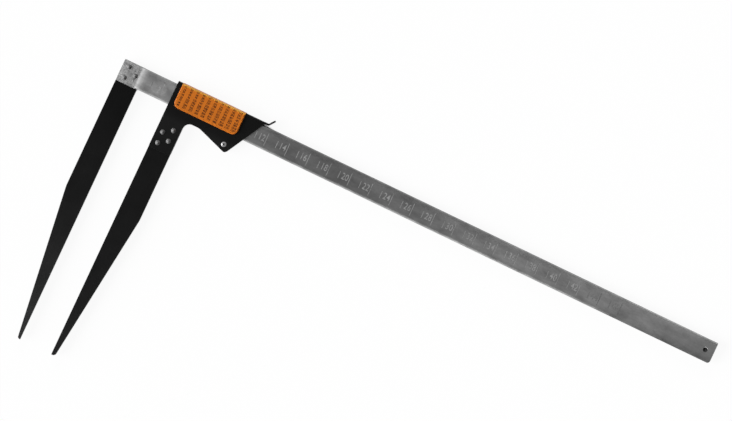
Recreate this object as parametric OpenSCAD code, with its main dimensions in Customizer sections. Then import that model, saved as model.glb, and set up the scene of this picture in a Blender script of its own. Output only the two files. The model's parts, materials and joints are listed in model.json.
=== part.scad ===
// Log caliper: a graduated beam with a fixed jaw at one end and a sliding jaw on a folded sheet slider.
// It lies on its back. X runs along the beam, the jaws point to -Y and the graduated face looks up.
// Inside the modules x starts at the fixed jaw's measuring face, y at the beam's lower edge and z at the
// middle of the beam's thickness. The slider's own outlines start at the sliding jaw's measuring face.

/* [Beam] */
// Overall length of the beam
beam_length = 569.8; // [520:0.1:700]
// Height of the beam, seen from the front
beam_height = 19.5; // [18:0.5:24]
// Thickness of the beam
beam_thickness = 3; // [2.6:0.1:4]
// Radius along the beam's long edges
beam_edge_radius = 1.3; // [0.4:0.1:1.3]
// Radius of the lower corner at the free end
end_lower_radius = 2.5; // [1:0.1:5]
// Radius of the upper corner at the free end
end_upper_radius = 1; // [0.5:0.1:5]
// Diameter of the hanging hole
hang_hole_diameter = 4; // [3:0.1:6]
// Distance from the hanging hole's centre to the free end
hang_hole_inset = 7.8; // [5:0.1:15]

/* [Scale] */
// Distance from one graduation to the next
mark_spacing = 10; // [5:1:20]
// Length of each second graduation, which carries a number
long_mark = 11.4; // [8:0.1:14]
// Length of the graduations between them
short_mark = 6.7; // [4:0.1:8]
// Height of the middle of the graduations above the beam's lower edge
mark_height = 9.3; // [8.5:0.1:10.5]
// Width of a graduation
mark_width = 0.7; // [0.4:0.1:1]
// Depth of a graduation
mark_depth = 0.2; // [0.1:0.05:0.4]
// Beam left beyond the slider at the longest reading
end_margin = 4.5; // [2:0.5:20]

/* [Flattened end] */
// Depth of the flattened end below the beam's front face
lap_recess = 0.4; // [0.2:0.1:0.6]
// Thickness of the flattened end
lap_thickness = 1.2; // [0.9:0.1:1.4]
// Width by which the flattened end spreads past the beam's lower edge
lap_spread = 0.4; // [0.2:0.1:0.8]
// Length of the slope between the flattened end and the front face
lap_slope = 3.7; // [2:0.1:4]
// Distance that the slope runs past the fixed jaw's measuring face
slope_overrun = 0.6; // [0.3:0.1:1.5]
// Distance that the flattened end stands out past the fixed jaw's outer edge
lap_overhang = 0.1; // [0:0.1:1]
// Diameter of the punch marks on the flattened end
dimple_diameter = 2.2; // [1:0.1:2.6]
// Depth of the punch marks
dimple_depth = 0.25; // [0.1:0.05:0.4]

/* [Jaws] */
// Width of both jaws at the beam
jaw_width = 20.2; // [19:0.1:26]
// Reach of both jaws below the beam
jaw_reach = 239; // [180:0.5:300]
// Straight length of the jaws below the beam, before the taper
jaw_straight = 101.5; // [80:0.5:130]
// Width of the fixed jaw's tip
fixed_tip_width = 2.4; // [2:0.1:8]
// Width of the sliding jaw's tip
sliding_tip_width = 3.4; // [2:0.1:8]
// Radius of the outer corner of the tips
tip_radius = 2.6; // [1:0.1:3]
// Radius of the corner where the taper starts
taper_radius = 30; // [10:1:60]
// Opening between the jaws as drawn
jaw_opening = 30; // [20:0.5:200]

/* [Slider] */
// Thickness of the folded sheet
sheet = 1.5; // [1:0.1:2]
// Outer radius of the fold
fold_radius = 2.2; // [2.1:0.1:2.6]
// Gap between the beam's top edge and the underside of the fold
top_gap = 1.4; // [1:0.1:2]
// Length of the slider along its top edge
slider_length = 84; // [80:0.5:100]
// Angle between the slider's rear edge and the beam
rear_angle = 61; // [55:1:75]
// Depth of the lobe's corner below the beam
lobe_depth = 16.8; // [14:0.1:22]
// Angle of the lobe's lower edge
lobe_slope = 19; // [15:1:24]
// Radius of the lobe's corner
lobe_radius = 2.8; // [1:0.1:5]
// Depth of the finger notch's flat top below the beam
notch_depth = 6.9; // [5:0.1:9]
// Radius between the finger notch and the jaw
notch_radius = 6.8; // [3:0.1:8]
// Radius between the notch's flat top and the lobe's lower edge
notch_end_radius = 14; // [4:1:20]
// Length of the plates down the jaw, below the beam
plate_drop = 39.5; // [36:0.5:60]
// Radius of the plates' lower corners
plate_radius = 1.5; // [0.5:0.1:4]

/* [Thumb tab] */
// Width of the thumb tab
tab_width = 5; // [3:0.1:6]
// Length of the tab before its bend
tab_flat = 2.5; // [2:0.1:8]
// Length of the tab past its bend
tab_raised = 6.5; // [4:0.1:12]
// Angle of the tab's bend
tab_angle = 53; // [20:1:80]
// Inner radius of the tab's bend
tab_bend_radius = 0.9; // [0.5:0.1:1.5]
// Radius of the corners at the tab's tip
tab_tip_radius = 0.4; // [0.2:0.1:0.4]

/* [Grip] */
// Distance from the measuring face to the grip
grip_inset = 4.5; // [3:0.1:8]
// Length of the grip along the beam
grip_length = 60.3; // [56:0.1:64]
// Thickness of the grip's side pads
pad_thickness = 2; // [1.5:0.1:4]
// Height of the pads' lower edge above the beam's lower edge
pad_lower = 0.7; // [0:0.1:3]
// Radius of the pads' lower corners
pad_radius = 4.8; // [2:0.1:6]
// Radius along the grip's top edges
grip_edge_radius = 1.6; // [0.5:0.1:2]
// Height by which the grip stands over the fold
grip_rise = 0.1; // [0:0.1:1]
// Diameter of the pegs that snap into the plates
peg_diameter = 4; // [3:0.1:6]
// Distance between the two pegs of a pad
peg_spacing = 40; // [20:1:46]

/* [Friction spring] */
// Length of the bowed leaf spring
spring_length = 42; // [30:1:50]
// Width of the leaf spring
spring_width = 2.2; // [1.5:0.1:2.4]
// Thickness of the leaf spring
spring_thickness = 0.4; // [0.3:0.05:0.6]
// Thickness of the grip over the spring
spring_roof = 1.2; // [0.8:0.1:1.5]
// Room at each end of the spring
spring_end_play = 0.5; // [0.3:0.1:1]

/* [Guide block] */
// Distance from the measuring face to the guide block
block_start = 48; // [42:0.5:52]
// Distance that the block stays in from the lobe's edges
block_inset = 1.1; // [0.5:0.1:2]

/* [Rivets] */
// Diameter of the solid rivets' shanks
rivet_shank = 3; // [2:0.1:3.4]
// Diameter of the rivets' heads
rivet_head = 4.4; // [3.8:0.1:5.2]
// Height of the round heads on the front
rivet_height = 1.3; // [0.8:0.1:1.6]
// Height of the closed heads on the back
rivet_tail = 0.9; // [0.5:0.1:1.4]
// Distance between the two columns of rivets
rivet_column_spacing = 8; // [6:0.1:9]
// Step down from each rivet to the next
rivet_step = 5.1; // [4:0.1:6]
// Distance from the measuring face to the middle of the fixed jaw's rivets
fixed_rivet_inset = 10.2; // [9.2:0.1:11]
// Depth of the first rivet of the sliding jaw below the beam
sliding_rivet_drop = 18.3; // [16:0.1:20]
// Outer diameter of the tubular rivet
eyelet_shank = 3.2; // [2.5:0.1:4]
// Bore of the tubular rivet
eyelet_bore = 1.9; // [1:0.1:2.2]
// Depth of the bore below the front plate's face
eyelet_bore_depth = 4; // [2:0.1:5]
// Diameter of the tubular rivet's heads
eyelet_head = 4.5; // [4.2:0.1:6]
// Height of the tubular rivet's heads
eyelet_height = 0.6; // [0.4:0.1:1]
// Distance from the lobe's corner back to the tubular rivet
eyelet_back = 3.7; // [3:0.1:6]
// Distance from the lobe's corner up to the tubular rivet
eyelet_up = 6.7; // [6:0.1:8]

/* [Clearances] */
// Play between the beam's faces and the slider's plates
side_play = 0.1; // [0.05:0.01:0.2]
// Play between the beam's edges and what runs along them
edge_play = 0.15; // [0.1:0.01:0.3]
// Gap around rivets, pegs and other fixed fits
fit_gap = 0.05; // [0.02:0.01:0.1]

/* [Hidden] */
$fn = 64;
// Steps of a rounded corner and sides of the spring's large circle
ARC_STEPS = 10;
SPRING_FACETS = 1440;
// Distance that cuts run past the faces they open
THROUGH = 1;
// Largest share of a tip or an edge that its rounding may take
TIP_SHARE = 0.9;
EDGE_SHARE = 0.45;

// Beam and flattened end
beam_front = beam_thickness / 2;
beam_left = -(jaw_width + lap_overhang);
beam_right = beam_left + beam_length;
edge_radius = min(beam_edge_radius, EDGE_SHARE * beam_thickness);
lap_front = beam_front - lap_recess;
lap_back = lap_front - lap_thickness;
slope_foot = slope_overrun - lap_slope;
hang_hole_x = beam_right - hang_hole_inset;

// Slider
channel_front = beam_front + side_play;
plate_front = channel_front + sheet;
web_low = beam_height + top_gap;
slider_top = web_low + sheet;
lobe_corner = slider_length - (slider_top + lobe_depth) / tan(rear_angle);
notch_end = lobe_corner - (lobe_depth - notch_depth) / tan(lobe_slope);
longest_reading = beam_right - slider_length - end_margin;
mark_count = floor(longest_reading / mark_spacing);

// Grip and friction spring
pad_inner = plate_front + fit_gap;
pad_outer = pad_inner + pad_thickness;
grip_top = slider_top + grip_rise;
grip_right = grip_inset + grip_length;
grip_middle = grip_inset + grip_length / 2;
bridge_low = beam_height + edge_play;
notch_floor = bridge_low + fit_gap;
runner_half = channel_front - side_play;
peg_length = sheet - side_play;
pocket_roof = grip_top - spring_roof;
pocket_half = spring_length / 2 + spring_end_play;
pocket_side = spring_width / 2 + fit_gap;
spring_low = beam_height + fit_gap;
spring_rise = pocket_roof - fit_gap - spring_low - spring_thickness;
spring_radius = (pow(spring_length / 2, 2) + pow(spring_rise, 2)) / (2 * spring_rise);

// Rivet, punch mark and peg places, each [x, y]
fixed_rivet_left = -fixed_rivet_inset - rivet_column_spacing / 2;
fixed_rivet_right = -fixed_rivet_inset + rivet_column_spacing / 2;
fixed_rivets = [for (i = [0:2]) [i == 1 ? fixed_rivet_right : fixed_rivet_left,
                                 beam_height / 2 + (1 - i) * rivet_step]];
dimples = [for (i = [0:2]) [i == 1 ? fixed_rivet_left - rivet_head / 2 : fixed_rivet_right - rivet_head / 4,
                            beam_height / 2 + (1 - i) * rivet_step]];
sliding_rivets = [for (i = [0:3]) [jaw_width / 2 + (i % 2 == 0 ? 1 : -1) * rivet_column_spacing / 2,
                                   -sliding_rivet_drop - i * rivet_step]];
eyelet_place = [lobe_corner - eyelet_back, eyelet_up - lobe_depth];
pegs = [for (side = [-1, 1]) [grip_middle + side * peg_spacing / 2, beam_height / 2]];

// Thumb tab
tab_bend = slider_length + tab_flat;
tab_middle = slider_top - sheet / 2;
tab_shift = sheet / 2 * tan(tab_angle / 2);
tab_run = tab_raised * [cos(tab_angle), sin(tab_angle)];
tab_side = sheet / 2 * [sin(tab_angle), -cos(tab_angle)];
tab_top = tab_middle + tab_run.y - tab_side.y;

// The part's origin is at the middle of its base
part_shift = [-(beam_left + beam_right) / 2, (jaw_reach - tab_top) / 2, pad_outer];

function unit(v) = v / norm(v);

// Point at an angle and a distance from a centre
function polar(centre, r, angle) = centre + r * [cos(angle), sin(angle)];

// Points of the arc with radius r that rounds the corner at p between its neighbours a and b
function corner(a, p, b, r) =
    let (u = unit(a - p), w = unit(b - p), half = acos(u * w) / 2,
         centre = p + unit(u + w) * r / sin(half),
         from = p + u * r / tan(half) - centre, to = p + w * r / tan(half) - centre,
         start = atan2(from.y, from.x),
         turn = (atan2(to.y, to.x) - start + 540) % 360 - 180)
    [for (i = [0:ARC_STEPS]) polar(centre, r, start + turn * i / ARC_STEPS)];

// Outline through points [x, y, r], each corner rounded by its r
function rounded(points) =
    let (n = len(points), at = [for (p = points) [p.x, p.y]])
    [for (i = [0:n - 1])
        each points[i].z > 0 ? corner(at[(i + n - 1) % n], at[i], at[(i + 1) % n], points[i].z) : [at[i]]];

module fixed_place() {
    translate(part_shift) children();
}

module slider_place() {
    translate(part_shift + [jaw_opening, 0, 0]) children();
}

// A solid from z = low to z = high over a flat outline
module slab(low, high) {
    translate([0, 0, low]) linear_extrude(high - low) children();
}

// A solid along x over an outline drawn in y and z
module along_x(low, high) {
    translate([low, 0, 0]) rotate([90, 0, 90]) linear_extrude(high - low) children();
}

// A solid along y over an outline drawn in x and z
module along_y(low, high) {
    translate([0, high, 0]) rotate([90, 0, 0]) linear_extrude(high - low) children();
}

// Upright holes of one diameter at several places
module holes(places, diameter) {
    reach = pad_outer + THROUGH;
    for (p = places) translate([p.x, p.y, -reach]) cylinder(d = diameter, h = 2 * reach);
}

// Round rivet head that stands on z = 0
module dome(diameter, height) {
    ball = (pow(diameter / 2, 2) + pow(height, 2)) / (2 * height);
    intersection() {
        translate([0, 0, height - ball]) sphere(r = ball);
        cylinder(d = diameter + THROUGH, h = height + THROUGH);
    }
}

// The same piece at z = height and, mirrored, at z = -height
module both_sides(height) {
    translate([0, 0, height]) children();
    translate([0, 0, -height]) mirror([0, 0, 1]) children();
}

// Solid rivet with a round head on the front and a lower one on the back
module rivet(back, front) {
    translate([0, 0, back]) cylinder(d = rivet_shank, h = front - back);
    translate([0, 0, front]) dome(rivet_head, rivet_height);
    translate([0, 0, back]) mirror([0, 0, 1]) dome(rivet_head, rivet_tail);
}

module beam_section() {
    polygon(rounded([[0, -beam_front, edge_radius], [beam_height, -beam_front, edge_radius],
                     [beam_height, beam_front, edge_radius], [0, beam_front, edge_radius]]));
}

module beam_outline() {
    polygon(rounded([[slope_foot, 0, 0], [beam_right, 0, end_lower_radius],
                     [beam_right, beam_height, end_upper_radius], [slope_foot, beam_height, 0]]));
}

module graduations() {
    for (i = [1:mark_count]) {
        mark_length = i % 2 == 0 ? long_mark : short_mark;
        translate([i * mark_spacing - mark_width / 2, mark_height - mark_length / 2, beam_front - mark_depth])
            cube([mark_width, mark_length, mark_depth + THROUGH]);
    }
}

module flattened_end() {
    slab(lap_back, lap_front)
        polygon([[beam_left, -lap_spread], [slope_foot, -lap_spread], [0, 0], [0, beam_height],
                 [beam_left, beam_height]]);
}

module punch_marks() {
    ball = (pow(dimple_diameter / 2, 2) + pow(dimple_depth, 2)) / (2 * dimple_depth);
    for (p = dimples) translate([p.x, p.y, lap_front - dimple_depth + ball]) sphere(r = ball);
}

module beam() {
    color("darkgray") fixed_place() difference() {
        union() {
            difference() {
                intersection() {
                    along_x(slope_foot, beam_right) beam_section();
                    slab(-beam_front, beam_front) beam_outline();
                }
                slab(-beam_front - THROUGH, lap_back)
                    translate([slope_foot - THROUGH, -THROUGH])
                        square([THROUGH - slope_foot, beam_height + 2 * THROUGH]);
                along_y(-THROUGH, beam_height + THROUGH)
                    polygon([[slope_foot, lap_front], [slope_overrun, beam_front], [slope_foot, beam_front]]);
                graduations();
                holes([[hang_hole_x, beam_height / 2]], hang_hole_diameter);
            }
            flattened_end();
        }
        holes(fixed_rivets, rivet_shank + 2 * fit_gap);
        punch_marks();
    }
}

// Outline of a jaw whose measuring face is on x = 0 and whose body lies at positive x
module blade_outline(top, tip_width) {
    polygon(rounded([[0, top, 0], [0, -jaw_reach, 0],
                     [tip_width, -jaw_reach, min(tip_radius, TIP_SHARE * tip_width)],
                     [jaw_width, -jaw_straight, taper_radius], [jaw_width, top, 0]]));
}

module fixed_jaw() {
    shoulder = -lap_spread - fit_gap;
    color("#1c1c1c") fixed_place() difference() {
        union() {
            slab(-channel_front, channel_front) mirror([1, 0]) blade_outline(shoulder, fixed_tip_width);
            slab(-channel_front, lap_back)
                translate([-jaw_width, shoulder])
                    square([jaw_width - fit_gap, beam_height - shoulder]);
        }
        holes(fixed_rivets, rivet_shank + 2 * fit_gap);
    }
}

module fixed_jaw_rivet(i) {
    color("silver") fixed_place()
        translate([fixed_rivets[i].x, fixed_rivets[i].y, 0]) rivet(-channel_front, lap_front);
}

// Outline of the slider's plates
module plate_outline() {
    polygon(rounded([[0, slider_top, 0], [slider_length, slider_top, 0],
                     [lobe_corner, -lobe_depth, lobe_radius], [notch_end, -notch_depth, notch_end_radius],
                     [jaw_width, -notch_depth, notch_radius], [jaw_width, -plate_drop, plate_radius],
                     [0, -plate_drop, plate_radius]]));
}

// Section of the folded sheet, drawn in y and z
module fold_section() {
    inner_radius = max(fold_radius - sheet, fit_gap);
    difference() {
        polygon(rounded([[-plate_drop, -plate_front, 0], [slider_top, -plate_front, fold_radius],
                         [slider_top, plate_front, fold_radius], [-plate_drop, plate_front, 0]]));
        polygon(rounded([[-plate_drop - THROUGH, -channel_front, 0], [web_low, -channel_front, inner_radius],
                         [web_low, channel_front, inner_radius], [-plate_drop - THROUGH, channel_front, 0]]));
    }
}

module thumb_tab() {
    bend = [tab_bend, tab_middle];
    root = slider_length - sheet;
    slab(-tab_width / 2, tab_width / 2)
        polygon(rounded([[root, web_low, 0], [tab_bend + tab_shift, web_low, tab_bend_radius + sheet],
                         concat(bend + tab_run + tab_side, tab_tip_radius),
                         concat(bend + tab_run - tab_side, tab_tip_radius),
                         [tab_bend - tab_shift, slider_top, tab_bend_radius],
                         [root, slider_top, 0]]));
}

module slider_body() {
    color("#202020") slider_place() difference() {
        union() {
            intersection() {
                along_x(0, slider_length) fold_section();
                slab(-plate_front, plate_front) plate_outline();
            }
            thumb_tab();
        }
        along_y(notch_floor, slider_top + THROUGH)
            translate([grip_inset - fit_gap, -plate_front - THROUGH])
                square([grip_length + 2 * fit_gap, 2 * (plate_front + THROUGH)]);
        holes(sliding_rivets, rivet_shank + 2 * fit_gap);
        holes([eyelet_place], eyelet_shank + 2 * fit_gap);
        holes(pegs, peg_diameter + 2 * fit_gap);
    }
}

module sliding_jaw() {
    color("#1c1c1c") slider_place() difference() {
        slab(-channel_front, channel_front) blade_outline(-edge_play, sliding_tip_width);
        holes(sliding_rivets, rivet_shank + 2 * fit_gap);
    }
}

module sliding_jaw_rivet(i) {
    color("silver") slider_place()
        translate([sliding_rivets[i].x, sliding_rivets[i].y, 0]) rivet(-plate_front, plate_front);
}

module lobe_eyelet() {
    color("silver") slider_place() translate([eyelet_place.x, eyelet_place.y, 0]) difference() {
        union() {
            translate([0, 0, -plate_front]) cylinder(d = eyelet_shank, h = 2 * plate_front);
            both_sides(plate_front) dome(eyelet_head, eyelet_height);
        }
        slab(plate_front - eyelet_bore_depth, plate_front + eyelet_height + THROUGH) circle(d = eyelet_bore);
    }
}

module guide_block() {
    color("#3a3a3a") slider_place() difference() {
        slab(-channel_front, channel_front) intersection() {
            translate([-block_inset, block_inset]) plate_outline();
            translate([block_start, -lobe_depth]) square([slider_length, lobe_depth - edge_play]);
        }
        holes([eyelet_place], eyelet_shank + 2 * fit_gap);
    }
}

// Section of the saddle grip, drawn in y and z
module grip_section() {
    difference() {
        polygon(rounded([[pad_lower, -pad_outer, 0], [grip_top, -pad_outer, grip_edge_radius],
                         [grip_top, pad_outer, grip_edge_radius], [pad_lower, pad_outer, 0]]));
        translate([pad_lower - THROUGH, -pad_inner])
            square([notch_floor + fit_gap - pad_lower + THROUGH, 2 * pad_inner]);
    }
    translate([bridge_low, -runner_half]) square([grip_top - bridge_low - THROUGH, 2 * runner_half]);
}

module grip_outline() {
    polygon(rounded([[grip_inset, pad_lower, pad_radius], [grip_right, pad_lower, pad_radius],
                     [grip_right, grip_top, 0], [grip_inset, grip_top, 0]]));
}

module grip() {
    color("darkorange") slider_place() {
        difference() {
            intersection() {
                along_x(grip_inset, grip_right) grip_section();
                slab(-pad_outer, pad_outer) grip_outline();
            }
            slab(-pocket_side, pocket_side)
                translate([grip_middle - pocket_half, beam_height])
                    square([2 * pocket_half, pocket_roof - beam_height]);
        }
        for (p = pegs) translate([p.x, p.y, 0])
            both_sides(plate_front - peg_length) cylinder(d = peg_diameter, h = peg_length + pad_thickness);
    }
}

module friction_spring() {
    color("silver") slider_place() slab(-spring_width / 2, spring_width / 2) intersection() {
        translate([grip_middle, spring_low + spring_radius]) difference() {
            circle(r = spring_radius, $fn = SPRING_FACETS);
            circle(r = spring_radius - spring_thickness, $fn = SPRING_FACETS);
        }
        translate([grip_middle - spring_length / 2, spring_low - THROUGH])
            square([spring_length, pocket_roof - fit_gap - spring_low + THROUGH]);
    }
}

beam();
fixed_jaw();
fixed_jaw_rivet(0);  // fixed_jaw_rivet_1
fixed_jaw_rivet(1);  // fixed_jaw_rivet_2
fixed_jaw_rivet(2);  // fixed_jaw_rivet_3
slider_body();
sliding_jaw();
sliding_jaw_rivet(0);  // sliding_jaw_rivet_1
sliding_jaw_rivet(1);  // sliding_jaw_rivet_2
sliding_jaw_rivet(2);  // sliding_jaw_rivet_3
sliding_jaw_rivet(3);  // sliding_jaw_rivet_4
lobe_eyelet();
guide_block();
grip();
friction_spring();
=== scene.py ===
# %% [markdown]
# A log caliper lies on its back: a steel bar with a stamped scale, a fixed jaw riveted to its left end and a
# sliding jaw on a folded sheet slider. The imported solids give every place and size, and they are loaded
# first. Places and sizes below are in mm, and MM turns them into Blender's metres.

# %% Load the solids
import json
import math

import bmesh
import bpy
from mathutils import Matrix, Vector

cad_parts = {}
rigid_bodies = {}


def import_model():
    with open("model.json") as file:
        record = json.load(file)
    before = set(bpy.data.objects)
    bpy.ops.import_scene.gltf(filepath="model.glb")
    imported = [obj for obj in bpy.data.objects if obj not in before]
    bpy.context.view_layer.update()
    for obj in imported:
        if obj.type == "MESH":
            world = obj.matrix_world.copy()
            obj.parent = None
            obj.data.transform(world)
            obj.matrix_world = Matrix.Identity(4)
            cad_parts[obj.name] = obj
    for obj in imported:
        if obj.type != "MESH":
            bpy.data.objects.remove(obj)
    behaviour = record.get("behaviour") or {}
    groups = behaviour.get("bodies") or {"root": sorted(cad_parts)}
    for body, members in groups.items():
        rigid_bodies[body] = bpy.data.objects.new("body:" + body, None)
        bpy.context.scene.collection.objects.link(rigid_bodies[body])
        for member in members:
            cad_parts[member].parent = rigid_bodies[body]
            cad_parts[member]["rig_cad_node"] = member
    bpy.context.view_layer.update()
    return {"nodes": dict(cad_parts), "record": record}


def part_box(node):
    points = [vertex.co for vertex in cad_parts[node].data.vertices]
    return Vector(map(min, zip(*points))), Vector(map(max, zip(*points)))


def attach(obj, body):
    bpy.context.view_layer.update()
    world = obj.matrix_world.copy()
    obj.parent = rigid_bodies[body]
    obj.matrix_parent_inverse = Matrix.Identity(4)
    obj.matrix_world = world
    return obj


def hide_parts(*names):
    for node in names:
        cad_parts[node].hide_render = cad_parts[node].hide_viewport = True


bpy.ops.object.select_all(action="SELECT")
bpy.ops.object.delete()
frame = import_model()
nodes = frame["nodes"]
MM = 0.001

# %% [markdown]
# The picture looks down on the flat tool from far away, a few degrees off the upright, so the jaws lean a
# little to the right and stay parallel. An orthographic camera gives that view. Its axes are built from the
# direction to the camera and the turn of the bar in the picture.

# %% Camera
PICTURE_WIDTH = 732
PIXELS_PER_MM = 1.1542
BAR_TURN = math.radians(25.63)
TILT = math.radians(8)
TILT_TOWARDS = math.radians(45)
AIM = Vector((-40.25, 97.23, 6.65)) * MM
CAMERA_DISTANCE = 3

back = Vector((math.cos(TILT_TOWARDS), math.sin(TILT_TOWARDS), 1 / math.tan(TILT))).normalized()
along_bar = Vector((1, 0, 0)) - back.x * back
bar_shortening = along_bar.length
along_bar.normalize()
across_bar = back.cross(along_bar)
right = math.cos(BAR_TURN) * along_bar + math.sin(BAR_TURN) * across_bar
upward = math.cos(BAR_TURN) * across_bar - math.sin(BAR_TURN) * along_bar

camera_data = bpy.data.cameras.new("camera")
camera_data.type = "ORTHO"
camera_data.ortho_scale = PICTURE_WIDTH / PIXELS_PER_MM * bar_shortening * MM
camera = bpy.data.objects.new("camera", camera_data)
camera.location = AIM + CAMERA_DISTANCE * back
camera.rotation_euler = Matrix((right, upward, back)).transposed().to_euler()
bpy.context.scene.collection.objects.link(camera)
bpy.context.scene.camera = camera
bpy.context.scene.view_settings.view_transform = "Standard"
print("picture width in mm:", round(camera_data.ortho_scale / MM, 1))

# %% [markdown]
# A node tree is easier to read when each node is one short call. These helpers add a node with its settings,
# join sockets, and work out sums and ranges. A source is either the output of another node or a plain value.

# %% Node helpers
def add_node(tree, kind, values=None, **settings):
    """A new node; values are for its sockets and settings for the node itself."""
    made = tree.nodes.new(kind)
    for name, value in settings.items():
        setattr(made, name, value)
    for name, value in (values or {}).items():
        made.inputs[name].default_value = value
    return made


def join(tree, source, target):
    tree.links.new(source, target)


def supply(tree, source, target):
    """Joins the source to the target, or sets it there if it is a plain value."""
    if isinstance(source, bpy.types.NodeSocket):
        join(tree, source, target)
    else:
        target.default_value = source


def feed(tree, made, *sources):
    """Supplies the first sockets of a node in turn."""
    for source, target in zip(sources, made.inputs):
        supply(tree, source, target)
    return made


def compute(tree, operation, *sources):
    """Result of a Math node."""
    return feed(tree, add_node(tree, "ShaderNodeMath", operation=operation), *sources).outputs["Value"]


def compute_vector(tree, operation, *sources):
    """Result of a Vector Math node: a number for a length, and otherwise a vector or a colour."""
    made = feed(tree, add_node(tree, "ShaderNodeVectorMath", operation=operation), *sources)
    return made.outputs["Value" if operation == "LENGTH" else "Vector"]


def map_range(tree, value, start, end, low=0, high=1, fade="LINEAR"):
    """A number that goes from low to high while the value goes from start to end."""
    made = add_node(tree, "ShaderNodeMapRange", interpolation_type=fade)
    return feed(tree, made, value, start, end, low, high).outputs["Result"]


# %% [markdown]
# A finish is a material with one Principled shader. An effect that several finishes share, such as grain or
# rubbed edges, is a shader node group: it is built once, and each finish places it with its own values.

# %% Finishes and effects
FLOAT = "NodeSocketFloat"
VECTOR = "NodeSocketVector"


def new_finish(name):
    material = bpy.data.materials.new(name)
    material.use_nodes = True
    return material.node_tree, material.node_tree.nodes["Principled BSDF"], material


def new_effect(name, inputs, outputs):
    tree = bpy.data.node_groups.new(name, "ShaderNodeTree")
    for label, kind, value in inputs:
        tree.interface.new_socket(label, in_out="INPUT", socket_type=kind).default_value = value
    for label, kind in outputs:
        tree.interface.new_socket(label, in_out="OUTPUT", socket_type=kind)
    return tree, tree.nodes.new("NodeGroupInput"), tree.nodes.new("NodeGroupOutput")


def place_effect(tree, effect, **values):
    """The effect in a finish; an underscore in a value's name stands for the space in its label."""
    made = add_node(tree, "ShaderNodeGroup", node_tree=effect)
    for name, value in values.items():
        made.inputs[name.replace("_", " ")].default_value = value
    return made


# %% [markdown]
# The tool is shown on a white sheet. The floor is a plain pale surface that still takes the shadow of the
# tool. Most of what the camera sees of it is a white of strength one, so the shadow beside the tool stays
# faint, and reflections in metal show the same white. Where the tool covers the floor closely, as under the
# hanging hole, the white fades out and the floor's own colour is painted dark: this is painted shade.
# Ambient occlusion drives it: it is one on open floor and near zero where the tool lies close above.

# %% Floor
FLOOR_SIZE = 14
FLOOR_WHITE = 0.93
# The floor's colour runs from painted shade under the tool to its own pale tone.
FLOOR_TONE_WITH_PAINTED_SHADE = (0.02, 0.95)
COVER_REACH = 12
COVER_SAMPLES = 32
OPEN_FOR_PAINTED_SHADE = (0.2, 0.35)
OPEN_FOR_WHITE = (0.3, 0.36)


def seen_directly(tree):
    """One for rays that show the surroundings themselves: straight, mirrored or through glass."""
    path = add_node(tree, "ShaderNodeLightPath")
    seen = compute(tree, "MAXIMUM", path.outputs["Is Camera Ray"], path.outputs["Is Glossy Ray"])
    return compute(tree, "MAXIMUM", seen, path.outputs["Is Transmission Ray"])


bpy.ops.mesh.primitive_plane_add(size=FLOOR_SIZE)
floor = bpy.context.object
floor.name = "floor"
tree, shader, paper = new_finish("pale_floor")
tree.nodes.remove(shader)
cover = add_node(tree, "ShaderNodeAmbientOcclusion", {"Distance": COVER_REACH * MM}, samples=COVER_SAMPLES)
openness = cover.outputs["AO"]
matte = add_node(tree, "ShaderNodeBsdfDiffuse")
# Painted shade: the floor's colour goes dark where the tool lies close above.
join(tree, map_range(tree, openness, *OPEN_FOR_PAINTED_SHADE, *FLOOR_TONE_WITH_PAINTED_SHADE), matte.inputs["Color"])
white = add_node(tree, "ShaderNodeEmission", {"Color": (1, 1, 1, 1), "Strength": 1})
white_share = map_range(tree, openness, *OPEN_FOR_WHITE, 0, FLOOR_WHITE)
share = compute(tree, "MULTIPLY", seen_directly(tree), white_share)
blend = add_node(tree, "ShaderNodeMixShader")
feed(tree, blend, share, matte.outputs["BSDF"], white.outputs["Emission"])
join(tree, blend.outputs["Shader"], tree.nodes["Material Output"].inputs["Surface"])
floor.data.materials.append(paper)
print("floor:", FLOOR_SIZE, "m square")

# %% [markdown]
# The light of the picture comes from the left and from low down: rivets are bright on their left, and the
# slider's rear edge throws a soft shadow to the right. A wide lamp gives that. A weaker one brightens the
# upper edges, and the white world fills the rest, so that a colour renders about as it is written. Both are
# sun lamps, which light the floor evenly. Each has its strength, its width in degrees and its direction.

# %% Light
WORLD_FILL = 0.2
LAMPS = (("soft_lamp", 5.57, 50, (-1.2, -0.64, 0.55)),
         ("edge_lamp", 1.1, 28, (-0.58, 1.22, 0.5)))

world = bpy.data.worlds.new("white_room")
bpy.context.scene.world = world
world.use_nodes = True
tree = world.node_tree
fill = tree.nodes["Background"]
fill.inputs["Color"].default_value = (1, 1, 1, 1)
join(tree, map_range(tree, seen_directly(tree), 0, 1, WORLD_FILL, 1), fill.inputs["Strength"])

for name, strength, softness, direction in LAMPS:
    lamp_data = bpy.data.lights.new(name, "SUN")
    lamp_data.angle = math.radians(softness)
    lamp_data.energy = strength
    lamp = bpy.data.objects.new(name, lamp_data)
    lamp.location = AIM + Vector(direction)
    lamp.rotation_euler = (-Vector(direction)).to_track_quat("-Z", "Y").to_euler()
    bpy.context.scene.collection.objects.link(lamp)
    print(name, "strength:", strength)

# %% [markdown]
# The first shared effect is grain. Real steel, coat and plastic are never one even tone: they have broad
# cloudy patches and fine speckle. One noise texture has only one size of patch, so two are added, each as a
# number around zero that shifts a colour or a roughness. Stretch draws the patches out along an axis.

# %% Grain
GRAIN_DETAIL = 3
GRAIN_ROUGHNESS = 0.55
NOISE_MIDDLE = 0.5


def object_place(tree):
    """Place on the part, in metres."""
    return add_node(tree, "ShaderNodeTexCoord").outputs["Object"]


def noise(tree, place, scale, detail, roughness=0.5):
    """Cloudy numbers between zero and one."""
    made = add_node(tree, "ShaderNodeTexNoise", {"Detail": detail})
    join(tree, place, made.inputs["Vector"])
    supply(tree, scale, made.inputs["Scale"])
    supply(tree, roughness, made.inputs["Roughness"])
    return made.outputs["Fac"]


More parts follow.
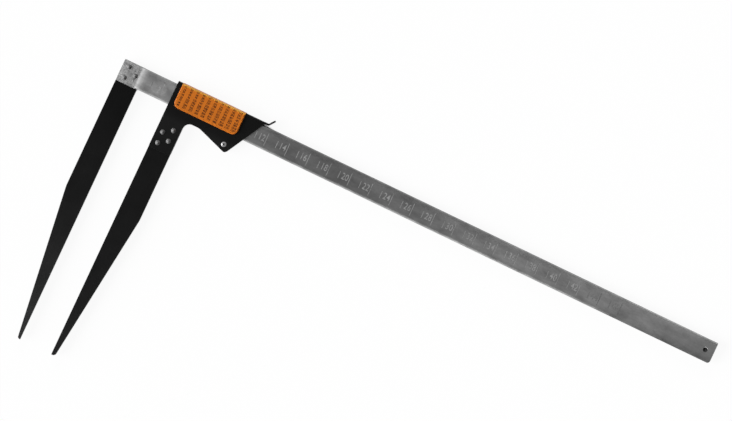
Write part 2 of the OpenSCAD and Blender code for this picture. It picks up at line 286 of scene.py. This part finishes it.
grain, into, out = new_effect(
    "grain",
    [("Stretch", VECTOR, (1, 1, 1)), ("Cloud Scale", FLOAT, 40), ("Speck Scale", FLOAT, 400),
     ("Cloud", FLOAT, 0.2), ("Speck", FLOAT, 0.1)],
    [("Shift", FLOAT)])
stretched = compute_vector(grain, "MULTIPLY", object_place(grain), into.outputs["Stretch"])
total = 0
for label in ("Cloud", "Speck"):
    patch = noise(grain, stretched, into.outputs[label + " Scale"], GRAIN_DETAIL, GRAIN_ROUGHNESS)
    centred = compute(grain, "SUBTRACT", patch, NOISE_MIDDLE)
    total = compute(grain, "MULTIPLY_ADD", centred, into.outputs[label], total)
join(grain, total, out.inputs["Shift"])
print("effect:", grain.name, "with", len(grain.nodes), "nodes")

# %% [markdown]
# The second is a mask for the places that hands and other tools wear, and for painted highlights on rounded
# edges. It is one at a line and fades over its width. Noise breaks it up, because an even stripe would look
# painted.

# %% Wear and highlight mask
MASK_DETAIL = 3
MASK_PATCH = (0.35, 0.65)

wear_and_highlight_mask, into, out = new_effect(
    "wear_and_highlight_mask",
    [("Distance", FLOAT, 0), ("Width", FLOAT, 0.001), ("Break Up", FLOAT, 0.5), ("Scale", FLOAT, 200)],
    [("Mask", FLOAT)])
near = map_range(wear_and_highlight_mask, into.outputs["Distance"], 0, into.outputs["Width"], 1, 0, "SMOOTHSTEP")
patch = noise(wear_and_highlight_mask, object_place(wear_and_highlight_mask), into.outputs["Scale"], MASK_DETAIL)
least = compute(wear_and_highlight_mask, "SUBTRACT", 1, into.outputs["Break Up"])
holes = map_range(wear_and_highlight_mask, patch, *MASK_PATCH, least, 1)
join(wear_and_highlight_mask, compute(wear_and_highlight_mask, "MULTIPLY", near, holes), out.inputs["Mask"])
print("effect:", wear_and_highlight_mask.name, "with", len(wear_and_highlight_mask.nodes), "nodes")

# %% [markdown]
# The third is pebble, the fine height of a sprayed, moulded or hammered skin. Its lumps are too small to
# model, so they are noise for a Bump node, with the size of a lump as an input.

# %% Pebble
PEBBLE_DETAIL = 1

pebble, into, out = new_effect(
    "pebble", [("Size", FLOAT, 0.0008), ("Fine", FLOAT, 0.4)], [("Height", FLOAT)])
per_size = compute(pebble, "DIVIDE", 1, into.outputs["Size"])
lumps = noise(pebble, object_place(pebble), per_size, PEBBLE_DETAIL, into.outputs["Fine"])
join(pebble, lumps, out.inputs["Height"])
print("effect:", pebble.name, "with", len(pebble.nodes), "nodes")

# %% [markdown]
# Every finish is a base colour that the grain shifts, a roughness that the grain shifts too, and a bump.
# This helper wires the three, so that each finish below only says its own numbers. The colour enters as a
# socket, because some finishes have one colour and others change along the bar. A rivet's low dome can be
# shaded as a steeper one, so that it shows the light from the side as a full round head does.

# %% Finish helper
def scale_colour(tree, colour, factor):
    """The colour times the factor, which is a socket."""
    made = feed(tree, add_node(tree, "ShaderNodeVectorMath", operation="SCALE"), colour)
    join(tree, factor, made.inputs["Scale"])
    return made.outputs["Vector"]


def steeper_normal(tree, factor):
    """The normal that a dome would have if it stood higher by the factor."""
    facing = add_node(tree, "ShaderNodeNewGeometry").outputs["Normal"]
    return compute_vector(tree, "NORMALIZE", compute_vector(tree, "MULTIPLY", facing, (factor, factor, 1)))


def dress(tree, shader, colour, shift, roughness, spread, bump, height, steep=1.0):
    """Wires colour, roughness and bump of one finish to its shader; the bump's height is in mm."""
    tinted = scale_colour(tree, colour, compute(tree, "ADD", shift, 1))
    join(tree, tinted, shader.inputs["Base Color"])
    join(tree, compute(tree, "MULTIPLY_ADD", shift, spread, roughness), shader.inputs["Roughness"])
    relief = add_node(tree, "ShaderNodeBump", {"Distance": height * MM, "Strength": 1})
    join(tree, bump, relief.inputs["Height"])
    if steep > 1:
        join(tree, steeper_normal(tree, steep), relief.inputs["Normal"])
    join(tree, relief.outputs["Normal"], shader.inputs["Normal"])


# %% [markdown]
# Steel and coat change their tone along the tool, and edges are made lighter, partly as wear and partly as a
# painted highlight. A colour ramp along one axis gives the tones, from a short list of places. A lighter
# edge is the wear and highlight mask on the distance to a line.

# %% Tones and lighter edges
EDGE_BREAK_UP = 0.45
EDGE_PATCHES = 90


def axis(tree, place, name):
    made = feed(tree, add_node(tree, "ShaderNodeSeparateXYZ"), place)
    return made.outputs[name]


def tone_ramp(tree, place, tones, level=1.0):
    """Grey along one axis, from pairs of a place in mm and a tone."""
    start, end = tones[0][0], tones[-1][0]
    ramp = add_node(tree, "ShaderNodeValToRGB")
    stops = ramp.color_ramp.elements
    for at, tone in tones[1:-1]:
        stops.new((at - start) / (end - start)).color = (*[tone * level] * 3, 1)
    stops[0].color = (*[tones[0][1] * level] * 3, 1)
    stops[len(stops) - 1].color = (*[tones[-1][1] * level] * 3, 1)
    join(tree, map_range(tree, place, start * MM, end * MM), ramp.inputs["Fac"])
    return ramp.outputs["Color"]


def edge_rub(tree, place, y, z, width, strength, fade=None):
    """Mask of a lighter edge along x at y and z, partly wear and partly painted highlight; fade is the two x
    between which it fades out, all in mm.
    """
    across = compute_vector(tree, "MULTIPLY_ADD", place, (0, 1, 1), (0, -y * MM, -z * MM))
    highlight_and_wear = place_effect(tree, wear_and_highlight_mask, Width=width * MM, Break_Up=EDGE_BREAK_UP, Scale=EDGE_PATCHES)
    join(tree, compute_vector(tree, "LENGTH", across), highlight_and_wear.inputs["Distance"])
    if fade:
        strength = map_range(tree, axis(tree, place, "X"), fade[0] * MM, fade[1] * MM, strength, 0)
    return compute(tree, "MULTIPLY", highlight_and_wear.outputs["Mask"], strength)


def total_of(tree, *parts):
    """Sum of number or colour sockets."""
    total = parts[0]
    for part in parts[1:]:
        total = compute_vector(tree, "ADD", total, part)
    return total


# %% [markdown]
# The bar is cold drawn steel. It is a dull mid grey that changes along its length, with faint patches drawn
# out along it. The slope at the fixed jaw is painted brightest, a painted highlight for the light that falls
# on it from the left. The rounded long edges are lighter, the lower one most: partly wear and partly a
# painted highlight of the light they catch. An oval spot round the first number is ground a little lighter.
# Towards the free end painted shade darkens the low edge and painted light brightens the high one.

# %% Bar steel
BAR_WIDTH = 19.5
BAR_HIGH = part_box("beam")[1].y / MM
BAR_LOW = BAR_HIGH - BAR_WIDTH
BAR_FRONT = 6.65
# The peak at the slope, at -266.2, is a painted highlight for the light from the left.
BAR_TONES_AND_SLOPE_HIGHLIGHT = ((-268.6, 0.26), (-266.2, 0.46), (-263.2, 0.23), (-260, 0.165), (-244, 0.164), (-115, 0.078),
             (-65, 0.081), (85, 0.131), (215, 0.126), (284, 0.094))
# Both long edges are lighter: partly wear and partly a painted highlight of the light on their round. The
# low one fades out towards the free end.
LOW_EDGE_WEAR_AND_HIGHLIGHT = {"width": 2.4, "strength": 0.3, "fade": (135, 215)}
HIGH_EDGE_WEAR_AND_HIGHLIGHT = {"width": 1.4, "strength": 0.11}
# From here to the free end painted shade darkens the low edge and painted light brightens the high one.
SHADE_START, SHADE_END = 120, 284
SHADE_LOW, SHADE_HIGH = -0.28, 0.6
SPOT_MIDDLE = Vector((-248.3, 115.4, 0))
SPOT_HALF_SIZE = Vector((7.7, 5.6, 20))
SPOT_TONE = 0.035


def end_shade(tree, place):
    """Number around zero: painted shade on the low edge and painted light on the high edge towards the free
    end.
    """
    along = map_range(tree, axis(tree, place, "X"), SHADE_START * MM, SHADE_END * MM)
    across = map_range(tree, axis(tree, place, "Y"), BAR_LOW * MM, BAR_HIGH * MM, SHADE_LOW, SHADE_HIGH)
    return compute(tree, "MULTIPLY", along, across)


def ground_spot(tree, place):
    """Tone of the oval spot; distances are measured in half sizes of it, so that its rim is at one."""
    from_middle = add_node(tree, "ShaderNodeMapping", vector_type="TEXTURE",
                           values={"Location": SPOT_MIDDLE * MM, "Scale": SPOT_HALF_SIZE * MM})
    join(tree, place, from_middle.inputs["Vector"])
    reach = compute_vector(tree, "LENGTH", from_middle.outputs["Vector"])
    spot = place_effect(tree, wear_and_highlight_mask, Width=0.12, Break_Up=0.3, Scale=150)
    join(tree, compute(tree, "SUBTRACT", reach, 1), spot.inputs["Distance"])
    return compute(tree, "MULTIPLY", spot.outputs["Mask"], SPOT_TONE)


tree, shader, bar_steel = new_finish("bar_steel")
place = object_place(tree)
tones = total_of(tree, tone_ramp(tree, axis(tree, place, "X"), BAR_TONES_AND_SLOPE_HIGHLIGHT),
                 edge_rub(tree, place, BAR_LOW, BAR_FRONT, **LOW_EDGE_WEAR_AND_HIGHLIGHT),
                 edge_rub(tree, place, BAR_HIGH, BAR_FRONT, **HIGH_EDGE_WEAR_AND_HIGHLIGHT),
                 ground_spot(tree, place))
drawn = place_effect(tree, grain, Stretch=(0.5, 1, 1), Cloud_Scale=120, Speck_Scale=600, Cloud=1.4,
                     Speck=0.4)
streaks = place_effect(tree, grain, Stretch=(0.02, 1, 1), Cloud_Scale=900, Speck_Scale=3000, Cloud=1,
                       Speck=1)
shift = compute(tree, "ADD", drawn.outputs["Shift"], end_shade(tree, place))
dress(tree, shader, tones, shift, roughness=0.42, spread=-0.1, bump=streaks.outputs["Shift"], height=0.02)
shader.inputs["Metallic"].default_value = 0.7
print("finish:", bar_steel.name, "with", len(tree.nodes), "nodes")

# %% [markdown]
# The stamped marks and numbers broke through the dull skin, so their floors are brighter bare steel, and
# they wear off towards the far end. The flattened end was hammered: it is paler, speckled and dented, and
# darker towards the slope. The rivets are dull zinc, which shows the light from the left. One function makes
# all of these speckled steels.

# %% Marks, hammered steel and rivets
TOOL_LEFT, TOOL_RIGHT = -285, 285
EVEN_GAIN = 1.04
MARK_TONES = ((-256, 0.165), (-252, 0.165), (-247, 0.29), (-150, 0.26), (-40, 0.24), (158, 0.235),
              (168, 0.14), (285, 0.12))
RIVET_TONES = ((-285, 0.18), (-200, 0.19))
END_TONES = ((-285, 0.31), (-281, 0.28), (-275, 0.23), (-270, 0.22), (-267.6, 0.27))


def speckled_steel(name, tones, cloud, speck, roughness, metallic, dent=1.1, depth=0.06, shine=0.25,
                   steep=1.0):
    """Steel with tones along x; dent and depth are the size and height of its dents in mm."""
    tree, shader, material = new_finish(name)
    skin = place_effect(tree, grain, Cloud_Scale=160, Speck_Scale=700, Cloud=cloud, Speck=speck)
    dents = place_effect(tree, pebble, Size=dent * MM)
    colour = tone_ramp(tree, axis(tree, object_place(tree), "X"), tones)
    dress(tree, shader, colour, skin.outputs["Shift"], roughness, spread=-0.15, bump=dents.outputs["Height"],
          height=depth, steep=steep)
    shader.inputs["Metallic"].default_value = metallic
    shader.inputs["Specular IOR Level"].default_value = shine
    print("finish:", name, "tones", tones[0][1], "to", tones[-1][1])
    return material


def even(tone):
    """Two near tones for the left and right end of the tool."""
    return (TOOL_LEFT, tone), (TOOL_RIGHT, EVEN_GAIN * tone)


mark_steel = speckled_steel("mark_steel", MARK_TONES, cloud=1.0, speck=0.8, roughness=0.4, metallic=0.6)
hammered_steel = speckled_steel("hammered_steel", END_TONES, cloud=1.6, speck=1.6, roughness=0.45,
                                metallic=0.2, dent=1.5, depth=0.22)
rivet_steel = speckled_steel("rivet_steel", RIVET_TONES, cloud=0.8, speck=0.5, roughness=0.45, metallic=0,
                             shine=0.2, steep=3.5)
# The hole's bevel takes this pale steel on its upper side, as a painted highlight.
hole_highlight_steel = speckled_steel("hole_highlight_steel", even(0.6), cloud=0.3, speck=0.2, roughness=0.35, metallic=0)
eyelet_zinc = speckled_steel("eyelet_zinc", even(0.21), cloud=0.6, speck=0.4, roughness=0.4, metallic=0.8)
spring_strip = speckled_steel("spring_strip", even(0.25), cloud=0.3, speck=0.2, roughness=0.3, metallic=0.9)

# %% [markdown]
# The jaws and the folded slider are coated black. The coat is a dull satin with a very fine pebble, a little
# uneven in tone. It is greyer towards the tips of the jaws, most on the fixed one. Just below the bar, at
# the root of the slider's plate, it is lighter: a painted highlight for the light on the plate's sloped
# step. The coat is thinner where edges are bevelled, so each piece has a pair of finishes, one for its faces
# and a paler one for its edges. The tones run along y and multiply the tone of the coat.

# %% Black coat
FACE_TONE = 0.003
FIXED_TONES = ((-135, 10.8), (-90, 6.7), (-20, 2.6), (60, 1.3), (90, 0.75), (135, 0.6))
SLIDING_TONES = ((-135, 4.0), (-75, 3.1), (-40, 2.2), (0, 1.8), (75, 1.6))
# The peak at y 95, at the root of the plate, is a painted highlight.
SHEET_TONES_AND_ROOT_HIGHLIGHT = ((66, 1.8), (80, 2.0), (95, 2.8), (101, 1.4), (118, 1.2), (135, 1.0))


def black_coat(name, tones, tone, roughness, patchy):
    tree, shader, material = new_finish(name)
    skin = place_effect(tree, grain, Cloud_Scale=45, Speck_Scale=500, Cloud=patchy, Speck=0.3)
    peel = place_effect(tree, pebble, Size=0.7 * MM)
    colour = tone_ramp(tree, axis(tree, object_place(tree), "Y"), tones, tone)
    dress(tree, shader, colour, skin.outputs["Shift"], roughness, spread=0.12, bump=peel.outputs["Height"],
          height=0.03)
    shader.inputs["Specular IOR Level"].default_value = 0.05
    print("finish:", name, "tone", tone)
    return material


def face_and_edge(name, tones, edge_tone):
    return (black_coat(name, tones, FACE_TONE, roughness=0.42, patchy=0.9),
            black_coat(name + "_edge", tones, edge_tone, roughness=0.38, patchy=1.5))


fixed_coats = face_and_edge("fixed_coat", FIXED_TONES, edge_tone=0.008)
sliding_coats = face_and_edge("sliding_coat", SLIDING_TONES, edge_tone=0.008)
sheet_coats = face_and_edge("sheet_coat", SHEET_TONES_AND_ROOT_HIGHLIGHT, edge_tone=0.006)

# %% [markdown]
# The grip is moulded in bright orange plastic, with a soft satin skin. Its top edge is painted paler, a
# painted highlight for the light from above on its rounded edge. Its table of numbers is filled with a dark
# brown ink. The guide block between the plates is grey nylon. All three wander a little round one colour,
# and the edge mask turns the grip's top edge towards the paler colour of that painted highlight.

# %% Grip plastic, ink and nylon
GRIP_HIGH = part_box("grip")[1].y / MM
GRIP_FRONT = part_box("grip")[1].z / MM
GRIP_HIGHLIGHT_WIDTH = 2.2
COLOUR_SPREAD = 0.06
COLOUR_PATCHES = 25
COLOUR_DETAIL = 2


def plain_colour(tree, colour):
    """A colour that wanders between a slightly darker and a slightly lighter tone."""
    ramp = add_node(tree, "ShaderNodeValToRGB")
    for stop, level in zip(ramp.color_ramp.elements, (1 - COLOUR_SPREAD, 1 + COLOUR_SPREAD)):
        stop.color = (*[level * c for c in colour], 1)
    join(tree, noise(tree, object_place(tree), COLOUR_PATCHES, COLOUR_DETAIL), ramp.inputs["Fac"])
    return ramp.outputs["Color"]


def moulded(name, colour, roughness, cloud, speck, highlight_and_wear=None):
    """Plastic or ink; the last argument is the colour of the grip's top edge, a painted highlight."""
    tree, shader, material = new_finish(name)
    skin = place_effect(tree, grain, Cloud_Scale=60, Speck_Scale=500, Cloud=cloud, Speck=speck)
    base = plain_colour(tree, colour)
    if highlight_and_wear:
        highlit_edge = edge_rub(tree, object_place(tree), GRIP_HIGH, GRIP_FRONT, GRIP_HIGHLIGHT_WIDTH, strength=1)
        base = total_of(tree, base, scale_colour(tree, Vector(highlight_and_wear) - Vector(colour), highlit_edge))
    texture = place_effect(tree, pebble, Size=0.9 * MM)
    dress(tree, shader, base, skin.outputs["Shift"], roughness, spread=0.3, bump=texture.outputs["Height"],
          height=0.04)
    shader.inputs["Specular IOR Level"].default_value = 0.15
    print("finish:", name, [round(c, 3) for c in colour])
    return material


# The paler top edge colour below is a painted highlight.
grip_orange = moulded("grip_orange", (0.54, 0.142, 0.011), roughness=0.4, cloud=0.4, speck=0.25,
                      highlight_and_wear=(0.95, 0.55, 0.08))
table_ink = moulded("table_ink", (0.045, 0.009, 0.001), roughness=0.5, cloud=0.5, speck=0.5)
guide_nylon = moulded("guide_nylon", (0.05, 0.05, 0.052), roughness=0.5, cloud=0.2, speck=0.2)

# %% [markdown]
# The solids arrive as loose triangles with hard edges. A piece that shows its edges could be modelled anew,
# but its solid already has the right shape. So it is a copy of the solid, merged and cleaned into flat
# faces, and later bevelled.

# %% Merged copies
MERGE_DISTANCE = 0.002
FLAT = math.radians(0.3)


def merged_copy(node, name):
    bpy.ops.object.select_all(action="DESELECT")
    bpy.context.view_layer.objects.active = nodes[node]
    nodes[node].select_set(True)
    bpy.ops.object.duplicate()
    piece = bpy.context.view_layer.objects.active
    piece.name = piece.data.name = name
    del piece["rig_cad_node"]
    bpy.ops.mesh.customdata_custom_splitnormals_clear()
    bpy.ops.object.mode_set(mode="EDIT")
    bpy.ops.mesh.select_all(action="SELECT")
    bpy.ops.mesh.remove_doubles(threshold=MERGE_DISTANCE * MM)
    bpy.ops.mesh.dissolve_limited(angle_limit=FLAT)
    bpy.ops.object.mode_set(mode="OBJECT")
    return piece


def set_finishes(piece, *finishes):
    piece.data.materials.clear()
    for finish in finishes:
        piece.data.materials.append(finish)


# %% [markdown]
# A real edge is never perfectly sharp, and it catches the light. The outer edges of the front and back faces
# are bevelled. Blender would narrow a bevel all round a piece where one corner is crowded, so that limit is
# off, and edges that a rivet head or the grip covers stay as they are. The bevel's strips may take a finish
# of their own.

# %% Bevels
SHARP = math.radians(30)
LEVEL = 0.99
COVERS = [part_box(name) for name in nodes if "rivet" in name or name in ("lobe_eyelet", "grip")]


def in_sight(point):
    """Whether no rivet head and no grip lies over or under a point in mm."""
    x, y = point.x * MM, point.y * MM
    return not any(low.x < x < high.x and low.y < y < high.y for low, high in COVERS)


def bevel_edges(piece, width, segments, wanted, finish=-1):
    """Bevels the outer edges of level faces whose middle, in mm, passes the test."""
    bpy.ops.object.mode_set(mode="EDIT")
    bpy.ops.mesh.select_mode(type="EDGE")
    bpy.ops.mesh.select_all(action="DESELECT")
    bpy.ops.mesh.edges_select_sharp(sharpness=SHARP)
    shape = bmesh.from_edit_mesh(piece.data)
    count = 0
    for edge in shape.edges:
        if edge.select:
            level = any(abs(face.normal.z) > LEVEL for face in edge.link_faces)
            middle = (edge.verts[0].co + edge.verts[1].co) / 2 / MM
            edge.select_set(level and edge.is_convex and wanted(middle))
        count += edge.select
    shape.select_flush_mode()
    bmesh.update_edit_mesh(piece.data)
    bpy.ops.mesh.bevel(offset=width * MM, segments=segments, affect="EDGES", clamp_overlap=False,
                       loop_slide=False, material=finish)
    bpy.ops.object.mode_set(mode="OBJECT")
    print(piece.name, "bevelled edges:", count)


print("covered places:", len(COVERS))

# %% [markdown]
# A finished piece is shaded smooth, apart from its sharp edges, and its normals are weighted by area, so
# that flat faces stay flat beside their bevels. It then rides on a body and stands in for its solid, which
# is hidden.

# %% Settling a piece
def apply_modifier(piece, kind, **settings):
    bpy.ops.object.select_all(action="DESELECT")
    piece.select_set(True)
    bpy.context.view_layer.objects.active = piece
    made = piece.modifiers.new(kind.lower(), kind)
    for name, value in settings.items():
        setattr(made, name, value)
    bpy.ops.object.modifier_apply(modifier=made.name)


def settle(piece, body, slot, *stands_for):
    bpy.ops.object.select_all(action="DESELECT")
    piece.select_set(True)
    bpy.context.view_layer.objects.active = piece
    bpy.ops.object.shade_smooth_by_angle(angle=SHARP)
    apply_modifier(piece, "WEIGHTED_NORMAL", keep_sharp=True)
    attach(piece, body)
    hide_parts(*stands_for)
    print(piece.name, "faces:", len(piece.data.polygons))


# %% [markdown]
# Numbers are text that is turned into a mesh, squeezed to the narrow shape of a stamp and joined into one
# cutter. A Boolean modifier then sinks them into a face, and the faces that it leaves take the cutter's
# finish. Painted numbers would be quicker, but stamped ones show their depth from the side. The doubles are
# merged first, because a Boolean needs closed shapes.

# %% Numbers as a cutter
NUMERAL_SHARE = 0.73
STROKE_GAIN = 0.1
TEXT_MERGE = 0.001


def number_cutter(name, entries, height, squeeze, face, depth, finish, side="CENTER", fineness=3):
    """One closed mesh of all numbers; entries are (text, x, y) in mm, the face is at z in mm."""
    made = []
    for text, x, y in entries:
        bpy.ops.object.select_all(action="DESELECT")
        bpy.ops.object.text_add(location=(0, 0, 0))
        word = bpy.context.object
        word.data.body = text
        word.data.align_x = side
        word.data.align_y = "CENTER"
        word.data.size = height / NUMERAL_SHARE * MM
        word.data.resolution_u = fineness
        word.data.offset = STROKE_GAIN * MM
        word.data.extrude = depth * MM
        bpy.ops.object.convert(target="MESH")
        word = bpy.context.object
        word.scale.x = squeeze
        word.location = Vector((x, y, face)) * MM
        bpy.ops.object.transform_apply(location=True, rotation=True, scale=True)
        made.append(word)
    bpy.ops.object.select_all(action="DESELECT")
    for word in made:
        word.select_set(True)
    bpy.context.view_layer.objects.active = made[0]
    bpy.ops.object.join()
    cutter = bpy.context.view_layer.objects.active
    cutter.name = name
    bpy.ops.object.mode_set(mode="EDIT")
    bpy.ops.mesh.select_all(action="SELECT")
    bpy.ops.mesh.remove_doubles(threshold=TEXT_MERGE * MM)
    bpy.ops.mesh.normals_make_consistent(inside=False)
    bpy.ops.object.mode_set(mode="OBJECT")
    set_finishes(cutter, finish)
    print(name, "numbers:", len(entries), "faces:", len(cutter.data.polygons))
    return cutter


def sink(piece, cutter):
    apply_modifier(piece, "BOOLEAN", operation="DIFFERENCE", solver="EXACT", object=cutter, use_self=True,
                   material_mode="TRANSFER")
    bpy.data.objects.remove(cutter)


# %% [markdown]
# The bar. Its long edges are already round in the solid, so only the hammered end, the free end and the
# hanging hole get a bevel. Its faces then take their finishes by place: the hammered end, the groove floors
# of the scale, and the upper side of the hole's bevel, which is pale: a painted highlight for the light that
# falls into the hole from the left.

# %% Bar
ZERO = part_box("fixed_jaw")[1].x / MM
HAMMERED_FROM, HAMMERED_TO = ZERO - 19, ZERO + 0.1
FREE_END = 270
MARKS_FROM, MARKS_TO = ZERO + 5, 210
MARK_WIDEST = 1
MARK_DEEPEST, MARK_SHALLOWEST = 0.25, 0.01
PLAIN, MARK, HAMMERED, HOLE_HIGHLIGHT = range(4)

HANG_HOLE = next(mount for mount in frame["record"]["mounts"] if mount["name"] == "hang_hole")
HOLE_MIDDLE = Vector(HANG_HOLE["pos_m"]) / MM
HOLE_REACH = HANG_HOLE["dims"]["r_mm"] + 0.5
HIGHLIGHT_ABOVE_MIDDLE = 1.1


def at_hole(point):
    return (point - HOLE_MIDDLE).to_2d().length < HOLE_REACH


def at_ends(point):
    return (point.x > FREE_END and not at_hole(point)) or point.x < HAMMERED_FROM


def groove_floor(start, end, z):
    """Whether a face from start to end along x, at height z, is the floor of a mark."""
    narrow = end - start < MARK_WIDEST and MARKS_FROM < start and end < MARKS_TO
    return narrow and BAR_FRONT - MARK_DEEPEST < z < BAR_FRONT - MARK_SHALLOWEST


bar = merged_copy("beam", "bar")
set_finishes(bar, bar_steel, mark_steel, hammered_steel, hole_highlight_steel)
bevel_edges(bar, width=0.3, segments=2, wanted=at_hole, finish=HOLE_HIGHLIGHT)
bevel_edges(bar, width=0.15, segments=2, wanted=at_ends)
for face in bar.data.polygons:
    points = [bar.data.vertices[i].co / MM for i in face.vertices]
    start, end = min(p.x for p in points), max(p.x for p in points)
    middle = face.center / MM
    if end < HAMMERED_TO:
        face.material_index = HAMMERED
    elif groove_floor(start, end, middle.z):
        face.material_index = MARK
    # Only the upper side of the hole's bevel keeps the painted highlight.
    elif face.material_index == HOLE_HIGHLIGHT and middle.y < HOLE_MIDDLE.y + HIGHLIGHT_ABOVE_MIDDLE:
        face.material_index = PLAIN

# %% [markdown]
# The scale's numbers are stamped left of each second mark, and the first one sits a little lower. They are
# sunk into the bar with one cutter, so that the bar is cut only once.

# %% Scale numbers
CENTIMETRE = 10
NUMBER_OFFSET = -1.1
NUMBER_Y = BAR_LOW + 9.4
FIRST_NUMBER, LAST_NUMBER, NUMBER_STEP = 2, 46, 2
FIRST_DROP = 1.8


def left_of_mark(number):
    return ZERO + CENTIMETRE * number + NUMBER_OFFSET


numbers = [(str(number), left_of_mark(number), NUMBER_Y)
           for number in range(FIRST_NUMBER + NUMBER_STEP, LAST_NUMBER + 1, NUMBER_STEP)]
numbers.append((str(FIRST_NUMBER), left_of_mark(FIRST_NUMBER), NUMBER_Y - FIRST_DROP))
sink(bar, number_cutter("scale_numbers", numbers, height=6.1, squeeze=0.78, face=BAR_FRONT, depth=0.15,
                        finish=mark_steel, side="RIGHT"))
settle(bar, "beam", "beam_steel", "beam")

# %% [markdown]
# Both jaws are flat bars that taper to a tip. They are copies of their solids with a small bevel round the
# edges in sight, and the bevel shows the thinner coat.

# %% Jaws
EDGE = 1

for node, body, coats in (("fixed_jaw", "beam", fixed_coats), ("sliding_jaw", "slider", sliding_coats)):
    blade = merged_copy(node, node + "_blade")
    set_finishes(blade, *coats)
    bevel_edges(blade, width=0.35, segments=2, wanted=in_sight, finish=EDGE)
    settle(blade, body, "black_coat", node)

# %% [markdown]
# The slider is one folded sheet with a thumb tab. Its cut edges get a finer bevel than the jaws, because
# sheet is thinner and its edge is only broken. The edges inside, along the channel of the bar, stay sharp.

# %% Slider sheet
CHANNEL_MIDDLE = 5.15
CHANNEL_HALF = 1.7


def outside_channel(point):
    return in_sight(point) and abs(point.z - CHANNEL_MIDDLE) > CHANNEL_HALF


sheet = merged_copy("slider_body", "slider_sheet")
set_finishes(sheet, *sheet_coats)
bevel_edges(sheet, width=0.2, segments=2, wanted=outside_channel, finish=EDGE)
settle(sheet, "slider", "black_coat", "slider_body")

# %% [markdown]
# The grip is a moulded saddle with soft edges. A table of plain numbers covers its front: a diameter in cm
# in the first column and, beside it, the volume in litres of a log of that diameter for nine lengths in m.

# %% Grip
PAD_BACK, PAD_FRONT = 1.9, 8.4
TABLE_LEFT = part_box("slider_body")[0].x / MM + 8.3
TABLE_STEP = 5.84
TABLE_ROWS = (20.7, 18.2, 16.0, 13.4, 10.9, 8.8, 6.2, 3.9)
FIRST_DIAMETER, DIAMETER_STEP = 12, 4
LENGTHS = range(2, 11)


def on_pads(point):
    return point.z > PAD_FRONT or point.z < PAD_BACK


def litres(diameter, length):
    """Volume of a round log, from its diameter in cm and its length in m."""
    return math.pi / 4 * (diameter / 100) ** 2 * length * 1000


grip = merged_copy("grip", "grip_saddle")
set_finishes(grip, grip_orange, table_ink)
bevel_edges(grip, width=0.7, segments=4, wanted=on_pads)
table = []
for row, rise in enumerate(TABLE_ROWS):
    diameter = FIRST_DIAMETER + DIAMETER_STEP * row
    entries = [diameter] + [round(litres(diameter, length)) for length in LENGTHS]
    for column, entry in enumerate(entries):
        table.append((str(entry), TABLE_LEFT + TABLE_STEP * column, BAR_LOW + rise))
sink(grip, number_cutter("table_numbers", table, height=1.8, squeeze=0.92, face=GRIP_FRONT, depth=0.1,
                         finish=table_ink, fineness=2))
settle(grip, "slider", "grip_plastic", "grip")

# %% [markdown]
# The rivets, the guide block and the spring keep their solids, whose shapes are right, and take the finishes
# made above.

# %% Small parts
for name, node in nodes.items():
    if "rivet" in name:
        set_finishes(node, rivet_steel)
set_finishes(nodes["lobe_eyelet"], eyelet_zinc)
set_finishes(nodes["guide_block"], guide_nylon)
set_finishes(nodes["friction_spring"], spring_strip)
print("solids shown:", [name for name, node in nodes.items() if not node.hide_render])
